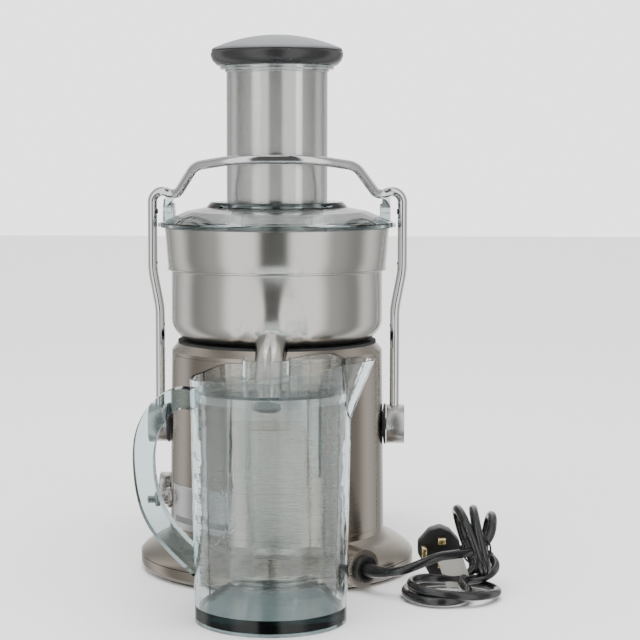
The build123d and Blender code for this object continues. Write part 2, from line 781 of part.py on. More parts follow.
handle_root_x = jug_x - jug_r
with BuildPart() as jug:
    add(jug_solid(0, 0))
    with BuildSketch(Plane.XZ.offset(-jug_y + handle_w / 2)):
        with BuildLine():
            Spline((handle_root_x + 1, handle_top_z), (handle_root_x - 16, handle_top_z + 1), (handle_x + 4, 148),
                   (handle_x, 112), (handle_x + 8, 76), (handle_root_x - 12, 44), (handle_root_x + 1, handle_low_z))
            Line((handle_root_x + 1, handle_low_z), (handle_root_x + 1, handle_low_z + handle_t + 6))
            Spline((handle_root_x + 1, handle_low_z + handle_t + 6), (handle_root_x - 6, 60),
                   (handle_x + 8 + handle_t - 1, 84), (handle_x + handle_t, 112),
                   (handle_x + handle_t + 4, 142), (handle_root_x - 12, handle_top_z - handle_t + 1),
                   (handle_root_x + 1, handle_top_z - handle_t))
            Line((handle_root_x + 1, handle_top_z - handle_t), (handle_root_x + 1, handle_top_z))
        make_face()
    extrude(amount=-handle_w)
    add(jug_solid(jug_wall, jug_floor), mode=Mode.SUBTRACT)
    with BuildSketch(Plane.XY.offset(notch_z)):
        with Locations((0, (notch_front_y + jug_rear_y) / 2 + 20)):
            Rectangle(2 * notch_half, jug_rear_y - notch_front_y + 40)
    extrude(amount=100, mode=Mode.SUBTRACT)
    with BuildSketch(Plane.XY.offset(-1)):
        add(jug_section(7))
    extrude(amount=2.5, mode=Mode.SUBTRACT)
save(jug, "jug")


def notch_sketch(grow):
    """The plan of the open-backed slot that the spout reaches through."""
    with BuildSketch() as slot:
        with Locations((0, notch_front_y + notch_half)):
            Circle(notch_half + grow)
        with Locations((0, notch_front_y + notch_half + 40)):
            Rectangle(2 * (notch_half + grow), 80)
    return slot.sketch


inner_at_lid = jug_wall - (lid_z * tan(radians(jug_draft))) + lid_fit
shroud_back = boss_y - boss_r - bite_gap - jug_wall + 1
with BuildPart() as jug_lid:
    with BuildSketch(Plane.XY.offset(lid_z)):
        add(jug_section(inner_at_lid))
    extrude(amount=lid_t)
    with BuildSketch(Plane.XY.offset(lid_z)):
        add(jug_section(inner_at_lid))
        add(jug_section(inner_at_lid + 2), mode=Mode.SUBTRACT)
    extrude(amount=-6)
    with BuildSketch(Plane.XY.offset(lid_z)):
        add(notch_sketch(2))
        with Locations((0, shroud_back + 50)):
            Rectangle(100, 100, mode=Mode.SUBTRACT)
    extrude(amount=shroud_h)
    with BuildSketch(Plane.XY.offset(lid_z - 20)):
        add(notch_sketch(0))
    extrude(amount=60, mode=Mode.SUBTRACT)
save(jug_lid, "jug_lid")

with BuildPart() as froth_separator:
    with BuildSketch(Plane.YZ.offset(separator_x - 1)):
        with Locations((jug_y - 2, (lid_z + separator_z) / 2)):
            Rectangle(60, lid_z - separator_z)
    extrude(amount=2)
    with BuildSketch(Plane.XZ.offset(-jug_y + 24)):
        with BuildLine():
            Polyline((-20, lid_z - 6), (separator_x - 1, lid_z - 6), (separator_x - 1, separator_z),
                     (36, separator_z + 4), (33, 148), (24, 153), (-20, 153), close=True)
        make_face()
    extrude(amount=2)
    with BuildSketch(Plane.XZ.offset(-jug_y + 24)):
        with BuildLine():
            Polyline((-20, lid_z - 7), (separator_x, lid_z - 7), (separator_x, lid_z), (-20, lid_z), close=True)
        make_face()
    extrude(amount=2)
save(froth_separator, "froth_separator")

# ================= pulp bin =================
skirt_clear_r = base_r + bin_gap


def bin_section(shift, front):
    with BuildSketch() as section:
        with Locations((0, (front + bin_back) / 2)):
            RectangleRounded(2 * (bin_half - shift), bin_back - front - 2 * shift, 18 - shift)
        Circle(skirt_clear_r + shift, mode=Mode.SUBTRACT)
    return section.sketch


with BuildPart() as pulp_bin:
    with BuildSketch():
        add(bin_section(0, 60))
    extrude(amount=bin_top)
    with BuildSketch(Plane.XY.offset(bin_wall)):
        add(bin_section(bin_wall, 60))
    extrude(amount=bin_top, mode=Mode.SUBTRACT)
save(pulp_bin, "pulp_bin")

# ================= cord and plug =================
cord_exit = lobe_reach + 1
with BuildPart() as cord_grommet:
    add(tube_between(along_lobe(lobe_reach - 12), along_lobe(lobe_reach + grommet_out), grommet_neck_r))
    add(tube_between(along_lobe(lobe_reach), along_lobe(lobe_reach + grommet_out), grommet_r))
    add(tube_between(along_lobe(cord_exit), along_lobe(lobe_reach + 10), cord_r + 2.6), mode=Mode.SUBTRACT)
save(cord_grommet, "cord_grommet")

hank_face_x = 152.0
hank_end_x = 186.0
cord_points = [
    along_lobe(cord_exit),
    along_lobe(cord_exit + 18),
    (105, -114, 21),
    (125, -113, 29.5),
    (138, -109.5, 34),
    (hank_face_x, -109.5, 34),
]


def corner_radii(points):
    """The largest arc that each corner's two runs leave room for."""
    radii = []
    for a, b, c in zip(points, points[1:], points[2:]):
        before = Vector(*b) - Vector(*a)
        after = Vector(*c) - Vector(*b)
        turn = radians(before.get_angle(after))
        radii.append(0.45 * min(before.length, after.length) / tan(turn / 2))
        print(f"cord corner: turn {degrees(turn):.0f}, radius {radii[-1]:.0f} mm")
    return radii


with BuildPart() as power_cord:
    with BuildLine() as cord_path:
        FilletPolyline(*cord_points, radius=corner_radii(cord_points))
    with BuildSketch(Plane(origin=cord_points[0], z_dir=Vector(*cord_points[1]) - Vector(*cord_points[0]))):
        Circle(cord_r)
    sweep(path=cord_path.line)
save(power_cord, "power_cord")
cord_length = sum(edge.length for edge in cord_path.edges())
print("cord volume over section times length:", power_cord.part.volume / (pi * cord_r ** 2 * cord_length))

with BuildPart() as cord_clamp:
    add(tube_between(along_lobe(lobe_reach - 22), along_lobe(lobe_reach - 12), 8.5))
save(cord_clamp, "cord_clamp")

with BuildPart() as cord_hank:
    with BuildSketch(Plane.XY.offset(0.4)):
        with Locations((144, -112)):
            Ellipse(42, 40)
    extrude(amount=13)
    with BuildSketch(Plane.XY.offset(0.4)):
        with Locations(((hank_face_x + hank_end_x) / 2, -79)):
            RectangleRounded(hank_end_x - hank_face_x, 72, 3)
    extrude(amount=69)
save(cord_hank, "cord_hank")

plug_face_y = -62.0
plug_outline = [(118, 24), (118, 32), (127, 42.5), (136, 45.5), (144, 42), (hank_face_x, 33), (hank_face_x, 19),
                (142, 7), (130, 2)]
with BuildPart() as plug_body:
    with BuildSketch(Plane.XZ.offset(-plug_face_y)):
        with BuildLine():
            Polyline(*plug_outline, close=True)
        make_face()
    extrude(amount=-19)
    fillet(plug_body.edges().filter_by(Axis.Y).sort_by(Axis.X)[:2], 4)
save(plug_body, "plug_body")

with BuildPart() as plug_pins:
    add(block((123, plug_face_y - 10, 28), (4, 20, 8)))
    add(block((137, plug_face_y - 8.5, 37), (6.3, 17, 4)))
    add(block((137, plug_face_y - 8.5, 18), (6.3, 17, 4)))
save(plug_pins, "plug_pins")
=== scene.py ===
import math

import bmesh
import bpy
from mathutils import Matrix, Vector


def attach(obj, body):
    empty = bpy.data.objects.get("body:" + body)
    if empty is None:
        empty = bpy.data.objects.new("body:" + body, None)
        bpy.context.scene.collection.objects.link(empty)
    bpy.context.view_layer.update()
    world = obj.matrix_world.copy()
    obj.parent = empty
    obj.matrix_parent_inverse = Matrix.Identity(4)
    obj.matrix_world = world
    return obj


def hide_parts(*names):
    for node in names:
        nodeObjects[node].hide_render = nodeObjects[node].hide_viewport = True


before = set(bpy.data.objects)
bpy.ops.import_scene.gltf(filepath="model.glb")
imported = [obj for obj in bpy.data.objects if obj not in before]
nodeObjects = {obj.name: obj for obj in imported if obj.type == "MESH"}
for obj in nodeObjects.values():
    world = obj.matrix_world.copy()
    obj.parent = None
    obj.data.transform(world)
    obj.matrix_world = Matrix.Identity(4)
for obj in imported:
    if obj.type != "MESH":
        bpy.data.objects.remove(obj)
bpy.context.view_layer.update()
scene = bpy.context.scene
print("frame loaded,", len(nodeObjects), "nodes")

cameraSettings = {"distance": 1.546, "azimuth": 3.3, "height": 0.350, "pitch": 5.25, "lens": 104.06,
                  "shiftX": 0.0672}


def addCamera():
    turn = math.radians(cameraSettings["azimuth"])
    data = bpy.data.cameras.new("camera")
    data.lens = cameraSettings["lens"]
    data.shift_x = cameraSettings["shiftX"]
    data.clip_end = 20
    camera = bpy.data.objects.new("camera", data)
    reach = cameraSettings["distance"]
    camera.location = (reach * math.sin(turn), -reach * math.cos(turn), cameraSettings["height"])
    camera.rotation_euler = (math.radians(90 - cameraSettings["pitch"]), 0, turn)
    scene.collection.objects.link(camera)
    scene.camera = camera


addCamera()


def newMaterial(name):
    material = bpy.data.materials.new(name)
    material.use_nodes = True
    nodes = material.node_tree.nodes
    return material, nodes, material.node_tree.links, nodes["Principled BSDF"]


# Noise on Object coordinates, stretched by a Mapping node.
def addNoise(nodes, links, scale, stretch=(1, 1, 1), detail=4.0):
    coords = nodes.new("ShaderNodeTexCoord")
    mapping = nodes.new("ShaderNodeMapping")
    mapping.inputs["Scale"].default_value = stretch
    noise = nodes.new("ShaderNodeTexNoise")
    noise.inputs["Scale"].default_value = scale
    noise.inputs["Detail"].default_value = detail
    links.new(coords.outputs["Object"], mapping.inputs["Vector"])
    links.new(mapping.outputs["Vector"], noise.inputs["Vector"])
    return noise.outputs["Fac"]


# A 0-1 value moved to run from low to high.
def spread(nodes, links, value, low, high):
    remap = nodes.new("ShaderNodeMapRange")
    remap.inputs["From Min"].default_value = 0.3
    remap.inputs["From Max"].default_value = 0.7
    remap.inputs["To Min"].default_value = low
    remap.inputs["To Max"].default_value = high
    links.new(value, remap.inputs["Value"])
    return remap.outputs["Result"]


def tinted(nodes, links, value, colourA, colourB):
    mix = nodes.new("ShaderNodeMix")
    mix.data_type = "RGBA"
    mix.inputs["A"].default_value = (*colourA, 1)
    mix.inputs["B"].default_value = (*colourB, 1)
    links.new(value, mix.inputs["Factor"])
    return mix.outputs["Result"]


def bumped(nodes, links, height, strength, distance, shader):
    bump = nodes.new("ShaderNodeBump")
    bump.inputs["Strength"].default_value = strength
    bump.inputs["Distance"].default_value = distance
    links.new(height, bump.inputs["Height"])
    links.new(bump.outputs["Normal"], shader.inputs["Normal"])


# A Math node whose inputs are sockets or plain values.
def mathNode(nodes, links, operation, *values):
    node = nodes.new("ShaderNodeMath")
    node.operation = operation
    for socket, value in zip(node.inputs, values):
        if isinstance(value, (int, float)):
            socket.default_value = value
        else:
            links.new(value, socket)
    return node.outputs[0]


# Metal with fine worked lines, uneven polish and faint stains.
def metalMaterial(name, light, dark, rough, lines, lineScale, bump, streak=0.0, turned=False):
    material, nodes, links, shader = newMaterial(name)
    shader.inputs["Metallic"].default_value = 1.0
    fine = addNoise(nodes, links, lineScale, lines, 6)
    broad = addNoise(nodes, links, 9, (1, 1, 1), 3)
    links.new(tinted(nodes, links, broad, dark, light), shader.inputs["Base Color"])
    polish = [spread(nodes, links, noise, rough[0] / 2, rough[1] / 2) for noise in (fine, broad)]
    links.new(mathNode(nodes, links, "ADD", *polish), shader.inputs["Roughness"])
    bumped(nodes, links, fine, bump, 0.0002, shader)
    if streak:
        shader.inputs["Anisotropic"].default_value = streak
        shader.inputs["Anisotropic Rotation"].default_value = 0.25
        if turned:
            tangent = nodes.new("ShaderNodeTangent")
            tangent.direction_type = "RADIAL"
            tangent.axis = "Z"
            links.new(tangent.outputs["Tangent"], shader.inputs["Tangent"])
    return material


# Moulded plastic or rubber: faint mottling, fine grain and uneven sheen.
def plasticMaterial(name, light, dark, rough, grain=900, bump=0.12, coat=0.0, spec=0.5):
    material, nodes, links, shader = newMaterial(name)
    fine = addNoise(nodes, links, grain, (1, 1, 1), 3)
    broad = addNoise(nodes, links, 22, (1, 1, 1), 4)
    links.new(tinted(nodes, links, broad, dark, light), shader.inputs["Base Color"])
    links.new(spread(nodes, links, broad, rough[0], rough[1]), shader.inputs["Roughness"])
    bumped(nodes, links, fine, bump, 0.00015, shader)
    shader.inputs["Coat Weight"].default_value = coat
    shader.inputs["Coat Roughness"].default_value = 0.08
    shader.inputs["Specular IOR Level"].default_value = spec
    return material


# Clear moulded plastic with slight flow lines and fine scuffs.
def clearMaterial(name, light, dark, rough, ior=1.45, wave=0.04, depth=0.0, depthColour=(0.36, 0.56, 0.59)):
    material, nodes, links, shader = newMaterial(name)
    flow = addNoise(nodes, links, 30, (1, 1, 0.35), 3)
    scuff = addNoise(nodes, links, 160, (1, 1, 3), 6)
    links.new(tinted(nodes, links, flow, dark, light), shader.inputs["Base Color"])
    links.new(spread(nodes, links, scuff, rough[0], rough[1]), shader.inputs["Roughness"])
    bumped(nodes, links, flow, wave, 0.0006, shader)
    shader.inputs["Transmission Weight"].default_value = 1.0
    shader.inputs["IOR"].default_value = ior
    if depth:
        body = nodes.new("ShaderNodeVolumeAbsorption")
        body.inputs["Color"].default_value = (*depthColour, 1)
        body.inputs["Density"].default_value = depth
        links.new(body.outputs["Volume"], nodes["Material Output"].inputs["Volume"])
    return material


# Stacked sheets or wound wire: even bands along one axis, broken up a little.
def bandedMaterial(name, light, dark, rough, bandScale, axis, metallic, bump):
    material, nodes, links, shader = newMaterial(name)
    coords = nodes.new("ShaderNodeTexCoord")
    wave = nodes.new("ShaderNodeTexWave")
    wave.bands_direction = axis
    wave.inputs["Scale"].default_value = bandScale
    wave.inputs["Distortion"].default_value = 0.6
    wave.inputs["Detail"].default_value = 2
    links.new(coords.outputs["Object"], wave.inputs["Vector"])
    links.new(tinted(nodes, links, wave.outputs["Fac"], dark, light), shader.inputs["Base Color"])
    links.new(spread(nodes, links, wave.outputs["Fac"], rough[1], rough[0]), shader.inputs["Roughness"])
    bumped(nodes, links, wave.outputs["Fac"], bump, 0.0004, shader)
    shader.inputs["Metallic"].default_value = metallic
    return material


# Stainless sheet with close rows of fine etched holes.
def meshMaterial(name):
    material, nodes, links, shader = newMaterial(name)
    coords = nodes.new("ShaderNodeTexCoord")
    cells = nodes.new("ShaderNodeTexVoronoi")
    cells.inputs["Scale"].default_value = 620
    cells.inputs["Randomness"].default_value = 0.15
    links.new(coords.outputs["Object"], cells.inputs["Vector"])
    hole = nodes.new("ShaderNodeMapRange")
    hole.inputs["From Min"].default_value = 0.22
    hole.inputs["From Max"].default_value = 0.34
    links.new(cells.outputs["Distance"], hole.inputs["Value"])
    links.new(tinted(nodes, links, hole.outputs["Result"], (0.02, 0.02, 0.02), (0.62, 0.61, 0.59)),
              shader.inputs["Base Color"])
    links.new(spread(nodes, links, hole.outputs["Result"], 0.6, 0.3), shader.inputs["Roughness"])
    bumped(nodes, links, hole.outputs["Result"], 0.6, 0.0004, shader)
    shader.inputs["Metallic"].default_value = 1.0
    return material


# Circuit board: green resist over copper tracks.
def boardMaterial(name):
    material, nodes, links, shader = newMaterial(name)
    coords = nodes.new("ShaderNodeTexCoord")
    tracks = nodes.new("ShaderNodeTexBrick")
    tracks.inputs["Scale"].default_value = 260
    tracks.inputs["Mortar Size"].default_value = 0.06
    tracks.inputs["Color1"].default_value = (0.01, 0.10, 0.04, 1)
    tracks.inputs["Color2"].default_value = (0.02, 0.16, 0.06, 1)
    tracks.inputs["Mortar"].default_value = (0.20, 0.30, 0.08, 1)
    links.new(coords.outputs["Object"], tracks.inputs["Vector"])
    links.new(tracks.outputs["Color"], shader.inputs["Base Color"])
    bumped(nodes, links, tracks.outputs["Fac"], 0.3, 0.0002, shader)
    shader.inputs["Roughness"].default_value = 0.35
    return material


materialRows = {
    "champagneMetal": (metalMaterial, (0.42, 0.375, 0.325), (0.385, 0.345, 0.30), (0.25, 0.29),
        (1, 1, 90), 30, 0.01, 0.75, True),
    "spunSteel": (metalMaterial, (0.66, 0.64, 0.61), (0.62, 0.60, 0.57), (0.20, 0.24), (1, 1, 90), 26,
        0.015, 0.8, True),
    "polishedBar": (metalMaterial, (0.86, 0.86, 0.86), (0.78, 0.78, 0.79), (0.04, 0.10), (1, 1, 6), 60,
        0.03),
    "brushedHub": (metalMaterial, (0.70, 0.69, 0.68), (0.60, 0.59, 0.58), (0.22, 0.34), (60, 1, 1), 30,
        0.12),
    "castAlloy": (metalMaterial, (0.50, 0.50, 0.51), (0.38, 0.38, 0.39), (0.42, 0.60), (1, 1, 1), 260,
        0.5),
    "brightSteel": (metalMaterial, (0.72, 0.72, 0.72), (0.62, 0.62, 0.63), (0.14, 0.26), (1, 1, 30), 60,
        0.08),
    "pinBrass": (metalMaterial, (0.78, 0.62, 0.30), (0.66, 0.50, 0.22), (0.14, 0.28), (1, 30, 1), 60,
        0.10),
    "laminations": (bandedMaterial, (0.30, 0.30, 0.32), (0.12, 0.12, 0.13), (0.35, 0.55), 600, "Z", 0.9,
        0.5),
    "windingCopper": (bandedMaterial, (0.62, 0.27, 0.11), (0.25, 0.09, 0.03), (0.25, 0.45), 240, "Z",
        0.9, 0.8),
    "segmentCopper": (bandedMaterial, (0.70, 0.34, 0.16), (0.20, 0.09, 0.05), (0.25, 0.40), 300, "X",
        0.9, 0.5),
    "pressedCarbon": (plasticMaterial, (0.045, 0.045, 0.048), (0.02, 0.02, 0.022), (0.5, 0.7), 700, 0.3),
    "capGrey": (plasticMaterial, (0.19, 0.20, 0.21), (0.16, 0.17, 0.18), (0.30, 0.42), 1100, 0.10),
    "capBlack": (plasticMaterial, (0.022, 0.022, 0.024), (0.013, 0.013, 0.014), (0.22, 0.34), 1100, 0.08,
        0.3),
    "mouldedBlack": (plasticMaterial, (0.020, 0.020, 0.021), (0.011, 0.011, 0.012), (0.34, 0.48), 1000,
        0.18),
    "mouldedDark": (plasticMaterial, (0.060, 0.062, 0.066), (0.038, 0.040, 0.043), (0.38, 0.52), 900,
        0.2),
    "cordBlack": (plasticMaterial, (0.016, 0.016, 0.017), (0.008, 0.008, 0.009), (0.16, 0.30), 500, 0.12,
        0.5),
    "softRubber": (plasticMaterial, (0.028, 0.028, 0.029), (0.016, 0.016, 0.017), (0.55, 0.75), 800, 0.3),
    "paleSeal": (plasticMaterial, (0.60, 0.60, 0.58), (0.48, 0.48, 0.47), (0.35, 0.5), 700, 0.15),
    "badgeSatin": (metalMaterial, (0.72, 0.72, 0.73), (0.64, 0.64, 0.66), (0.22, 0.32), (1, 1, 60), 30,
        0.08),
    # painted shadow: dark grey for the stripe along the badge's foot, standing in for the shade at the
    # plate's lower edge
    "badgeStripe": (plasticMaterial, (0.16, 0.16, 0.17), (0.12, 0.12, 0.13), (0.32, 0.42), 900, 0.1),
    "coverClear": (clearMaterial, (0.95, 0.955, 0.955), (0.91, 0.92, 0.92), (0.01, 0.04), 1.49, 0.05,
        60.0, (0.50, 0.62, 0.64)),
    "jugClear": (clearMaterial, (0.975, 0.985, 0.985), (0.95, 0.972, 0.972), (0.008, 0.03), 1.45, 0.06,
        48.0),
    "jugLidClear": (clearMaterial, (0.97, 0.985, 0.985), (0.94, 0.965, 0.965), (0.01, 0.05), 1.45, 0.05,
        60.0),
    "binClear": (clearMaterial, (0.60, 0.61, 0.62), (0.50, 0.51, 0.52), (0.12, 0.25), 1.45, 0.08),
    "printedMark": (plasticMaterial, (0.10, 0.13, 0.14), (0.07, 0.10, 0.11), (0.4, 0.5), 900, 0.1),
    "tagCard": (plasticMaterial, (0.52, 0.50, 0.45), (0.44, 0.42, 0.38), (0.6, 0.8), 700, 0.3),
    "filterMesh": (meshMaterial,),
    "boardGreen": (boardMaterial,),
}
materials = {name: maker(name, *values) for name, (maker, *values) in materialRows.items()}
print("materials made:", len(materials))

nodeFinish = {
    "champagneMetal": ["motor_housing", "base_skirt", "base_tray", "front_panel"],
    "badgeSatin": ["badge_plate"],
    "spunSteel": ["filter_bowl", "bowl_spout", "basket_base", "basket_rim", "pusher_sleeve", "top_deck"],
    "brightSteel": ["cutting_disc", "motor_shaft", "lower_bearing", "upper_bearing", "mount_screws",
                    "stator_posts", "pivot_bolts", "drive_coupling"],
    "filterMesh": ["filter_mesh"],
    "polishedBar": ["locking_arm"],
    "brushedHub": ["arm_hubs", "speed_dial", "power_button", "button_collar"],
    "castAlloy": ["lower_end_frame", "upper_end_frame", "stator_clamps"],
    "laminations": ["stator_core", "rotor_core"],
    "windingCopper": ["stator_windings"],
    "segmentCopper": ["commutator"],
    "pressedCarbon": ["carbon_brushes"],
    "pinBrass": ["plug_pins"],
    "capGrey": ["pusher_cap"],
    "capBlack": ["pusher_cap_base", "pusher_foot"],
    "mouldedBlack": ["arm_washers", "plug_body", "cord_grommet", "cord_clamp",
                     "brush_holders", "cooling_fan"],
    "mouldedDark": ["rotary_switch", "interlock_switch", "switch_bracket", "button_switch"],
    "softRubber": ["foot_ring", "bowl_gasket", "shaft_seal", "motor_mounts"],
    "paleSeal": ["cover_seal"],
    "coverClear": ["juicer_cover"],
    "jugClear": ["jug"],
    "jugLidClear": ["jug_lid", "froth_separator"],
    "binClear": ["pulp_bin"],
    "cordBlack": ["power_cord", "cord_hank"],
    "boardGreen": ["control_board"],
}


def finishOf(nodeName):
    for finish, names in nodeFinish.items():
        if nodeName in names:
            return materials[finish]
    return materials["mouldedDark"]


for nodeName, nodeObject in nodeObjects.items():
    if not nodeObject.data.materials:
        nodeObject.data.materials.append(finishOf(nodeName))
    for index in range(len(nodeObject.data.materials)):
        nodeObject.data.materials[index] = finishOf(nodeName)


# Turn a bmesh into a piece that rides on a body, smooth but for its sharp edges.
def finishMesh(bm, name, body, material, sharp=35):
    bmesh.ops.remove_doubles(bm, verts=bm.verts, dist=1e-6)
    bmesh.ops.recalc_face_normals(bm, faces=bm.faces)
    limit = math.radians(sharp)
    for edge in bm.edges:
        edge.smooth = edge.calc_face_angle(0) < limit
    for face in bm.faces:
        face.smooth = True
    mesh = bpy.data.meshes.new(name)
    bm.to_mesh(mesh)
    bm.free()
    piece = bpy.data.objects.new(name, mesh)
    scene.collection.objects.link(piece)
    mesh.materials.append(materials[material])
    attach(piece, body)
    return piece


# Turn an outline of (radius, height) in millimetres once round the Z axis.
def spinOutline(bm, points, steps=160):
    verts = [bm.verts.new((r / 1000, 0, z / 1000)) for r, z in points]
    edges = [bm.edges.new(pair) for pair in zip(verts, verts[1:] + verts[:1])]
    bmesh.ops.spin(bm, geom=verts + edges, cent=(0, 0, 0), axis=(0, 0, 1), angle=2 * math.pi, steps=steps,
                   use_merge=True)
    bmesh.ops.remove_doubles(bm, verts=bm.verts, dist=1e-6)


def turnOf(degrees, axis):
    return Matrix.Rotation(math.radians(degrees), 3, axis)


# Sweep an outline of (radius, height) in millimetres through part of a turn, from a bearing off the front.
def spinArc(bm, outline, bearing, turn, steps, centre=(0, 0)):
    middle = Vector((centre[0], centre[1], 0)) / 1000
    verts = [bm.verts.new((middle.x, middle.y - r / 1000, z / 1000)) for r, z in outline]
    face = bm.faces.new(verts)
    bmesh.ops.rotate(bm, verts=verts, cent=middle, matrix=turnOf(bearing, "Z"))
    bmesh.ops.spin(bm, geom=[face] + face.edges[:] + verts, cent=middle, axis=(0, 0, 1),
                   angle=math.radians(turn), steps=steps)


# Skin a row of rings, and join the last to the first when the row is closed.
def bridgeRings(bm, rings, closed=False):
    following = rings[1:] + (rings[:1] if closed else [])
    for ring, after in zip(rings, following):
        sides = (set(ring), set(after))
        edges = [edge for edge in bm.edges if any(set(edge.verts) <= side for side in sides)]
        bmesh.ops.bridge_loops(bm, edges=edges)


cordSettings = {"diameter": 0.0072, "length": 1.014, "pointStep": 12.0, "leastBend": 24.0, "easePasses": 120,
                "easePull": 0.12, "heldAtExit": 5, "heldAtPlug": 2}
cordRoute = [
    (75.2, -89.6, 17), (86.8, -103.4, 17), (105, -114, 21), (125, -113, 29.5), (138, -109.5, 34),
    (152, -109.5, 34),
]


# Points round an ellipse from one angle to another, moving by drift on the way.
def loopPoints(centre, across, up, start, end, count, drift=(0, 0, 0)):
    points = []
    for step in range(count + 1):
        part = step / count
        angle = math.radians(start + (end - start) * part)
        cosine, sine = math.cos(angle), math.sin(angle)
        places = zip(centre, across, up, drift)
        points.append(tuple(c + a * cosine + u * sine + d * part for c, a, u, d in places))
    return points


# Radius of the circle through three points.
def bendRadius(before, here, after):
    sideA, sideB, sideC = (here - before).length, (after - here).length, (after - before).length
    doubleArea = (here - before).cross(after - here).length
    return sideA * sideB * sideC / max(2e-6, 2 * doubleArea)


# Points at an even spacing along the straight runs between the given places.
def evenPoints(places, step):
    reach = [0.0]
    for a, b in zip(places, places[1:]):
        reach.append(reach[-1] + (b - a).length)
    count = round(reach[-1] / step)
    made, run = [], 0
    for index in range(count + 1):
        want = reach[-1] * index / count
        while run < len(places) - 2 and reach[run + 1] < want:
            run += 1
        made.append(places[run].lerp(places[run + 1], (want - reach[run]) / (reach[run + 1] - reach[run])))
    return made


# The lay with its sharp turns eased, as a cord's own stiffness does.
def easedPoints(points):
    places = evenPoints([Vector(point) for point in points], cordSettings["pointStep"])
    first, last = cordSettings["heldAtExit"], len(places) - cordSettings["heldAtPlug"]
    for _ in range(cordSettings["easePasses"]):
        for index in range(first, last):
            before, here, after = places[index - 1], places[index], places[index + 1]
            radius = bendRadius(before, here, after)
            if radius >= cordSettings["leastBend"]:
                continue
            pull = cordSettings["easePull"] * min(1.5, cordSettings["leastBend"] / radius - 0.85)
            move = ((before + after) / 2 - here) * pull
            places[index] = here + move
            if index - 1 >= first:
                places[index - 1] = before - move * 0.5
            if index + 1 < last:
                places[index + 1] = after - move * 0.5
    return places


def addCord():
    points = list(cordRoute)
    points += [(166, -108, 38), (174, -101, 46), (177, -90, 57)]
    # three upright turns that fan out above the tie
    points += loopPoints((175, -82, 40), (0, -27.5, 0), (2, 0, 26), 100, 270, 6, (-4, 0, 0))[1:]
    points += loopPoints((171, -83, 40), (-2, -27.5, 0), (-5, 0, 26), -80, 270, 13, (-10, 0, 0))[1:]
    points += loopPoints((160, -84, 40), (3, -27.5, 0), (-9, 0, 26), -80, 260, 13, (-4, 0, 0))[1:]
    # then the flat turns on the floor, the second inside and over the first
    points += [(149, -98, 12), (156, -113, 8)]
    points += loopPoints((143, -112, 5), (37, 0, 0), (0, -36, 0), 50, 360, 13, (1, 0, 0))[1:]
    points += loopPoints((142, -114, 7), (36, 0, 0), (0, -31, 0), 25, 180, 6, (4, 0, 6))
    points += [(114, -101, 13), (127, -95, 12), (143, -96, 11), (160, -98, 11), (175, -93, 13),
               (182, -77, 18), (176, -60, 23), (163, -53, 26), (151.5, -52.5, 26)]
    points = easedPoints(points)
    curve = bpy.data.curves.new("powerCord", "CURVE")
    curve.dimensions = "3D"
    curve.bevel_depth = cordSettings["diameter"] / 2
    curve.bevel_resolution = 6
    curve.resolution_u = 8
    curve.use_fill_caps = True
    spline = curve.splines.new("NURBS")
    spline.points.add(len(points) - 1)
    for point, place in zip(spline.points, points):
        point.co = (place[0] / 1000, place[1] / 1000, place[2] / 1000, 1)
    spline.order_u = 3
    spline.use_endpoint_u = True
    curve.materials.append(materials["cordBlack"])
    cord = bpy.data.objects.new("powerCord", curve)
    scene.collection.objects.link(cord)
    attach(cord, "base")
    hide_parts("power_cord", "cord_hank")
    return cord


powerCord = addCord()
print("cord laid")


# A copy of a CAD node with its hard edges rounded, which stands for the node.
def softened(nodeName, pieceName, body, material, width=0.5, sharp=28, slot=None):
    bm = bmesh.new()
    bm.from_mesh(nodeObjects[nodeName].data)
    bmesh.ops.remove_doubles(bm, verts=bm.verts, dist=2e-6)
    bmesh.ops.dissolve_limit(bm, angle_limit=math.radians(0.6), verts=bm.verts, edges=bm.edges)
    limit = math.radians(sharp)
    hard = [edge for edge in bm.edges if len(edge.link_faces) == 2 and edge.calc_face_angle(0) > limit]
    bmesh.ops.bevel(bm, geom=hard, offset=width / 1000, offset_type="OFFSET", segments=2, profile=0.5,
                    affect="EDGES", clamp_overlap=True, material=-1)
    bmesh.ops.triangulate(bm, faces=[face for face in bm.faces if len(face.verts) > 4])
    piece = finishMesh(bm, pieceName, body, material, 30)
    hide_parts(nodeName)
    return piece


softPieces = [
    ("base_skirt", "baseShell", "base", "champagneMetal", 0.5),
    ("base_tray", "basePan", "base", "champagneMetal", 0.5),
    ("arm_hubs", "pivotHubs", "arm", "brushedHub", 0.6),
    ("speed_dial", "dialKnob", "dial", "brushedHub", 0.4),
    ("power_button", "buttonStem", "button", "brushedHub", 0.3),
    ("button_collar", "buttonNut", "base", "brushedHub", 0.4),
    ("pusher_cap_base", "capUnderside", "pusher", "capBlack", 0.6),
    ("pusher_cap", "capTop", "pusher", "capGrey", 0.6),
    ("cord_grommet", "grommetRing", "base", "cordBlack", 0.8),
    ("plug_body", "plugShell", "base", "mouldedBlack", 1.4),
    ("plug_pins", "plugBlades", "base", "pinBrass", 0.4),
    ("pulp_bin", "pulpBucket", "bin", "binClear", 0.8),
    ("arm_washers", "pivotWashers", "base", "mouldedBlack", 0.4),
    ("foot_ring", "footRing", "base", "softRubber", 0.4),
]
softMade = {row[0]: softened(*row) for row in softPieces}
print("softened pieces:", len(softMade))

housingSettings = {"lowR": 90.0, "topR": 88.0, "lowZ": 33.0, "highZ": 184.0}
panelSettings = {"halfArc": 68.0, "thick": 1.2, "lowZ": 38, "highZ": 178, "edgeOut": 1.5, "edgeWide": 1.6}


def wallR(z):
    part = (z - housingSettings["lowZ"]) / (housingSettings["highZ"] - housingSettings["lowZ"])
    return housingSettings["lowR"] + (housingSettings["topR"] - housingSettings["lowR"]) * part


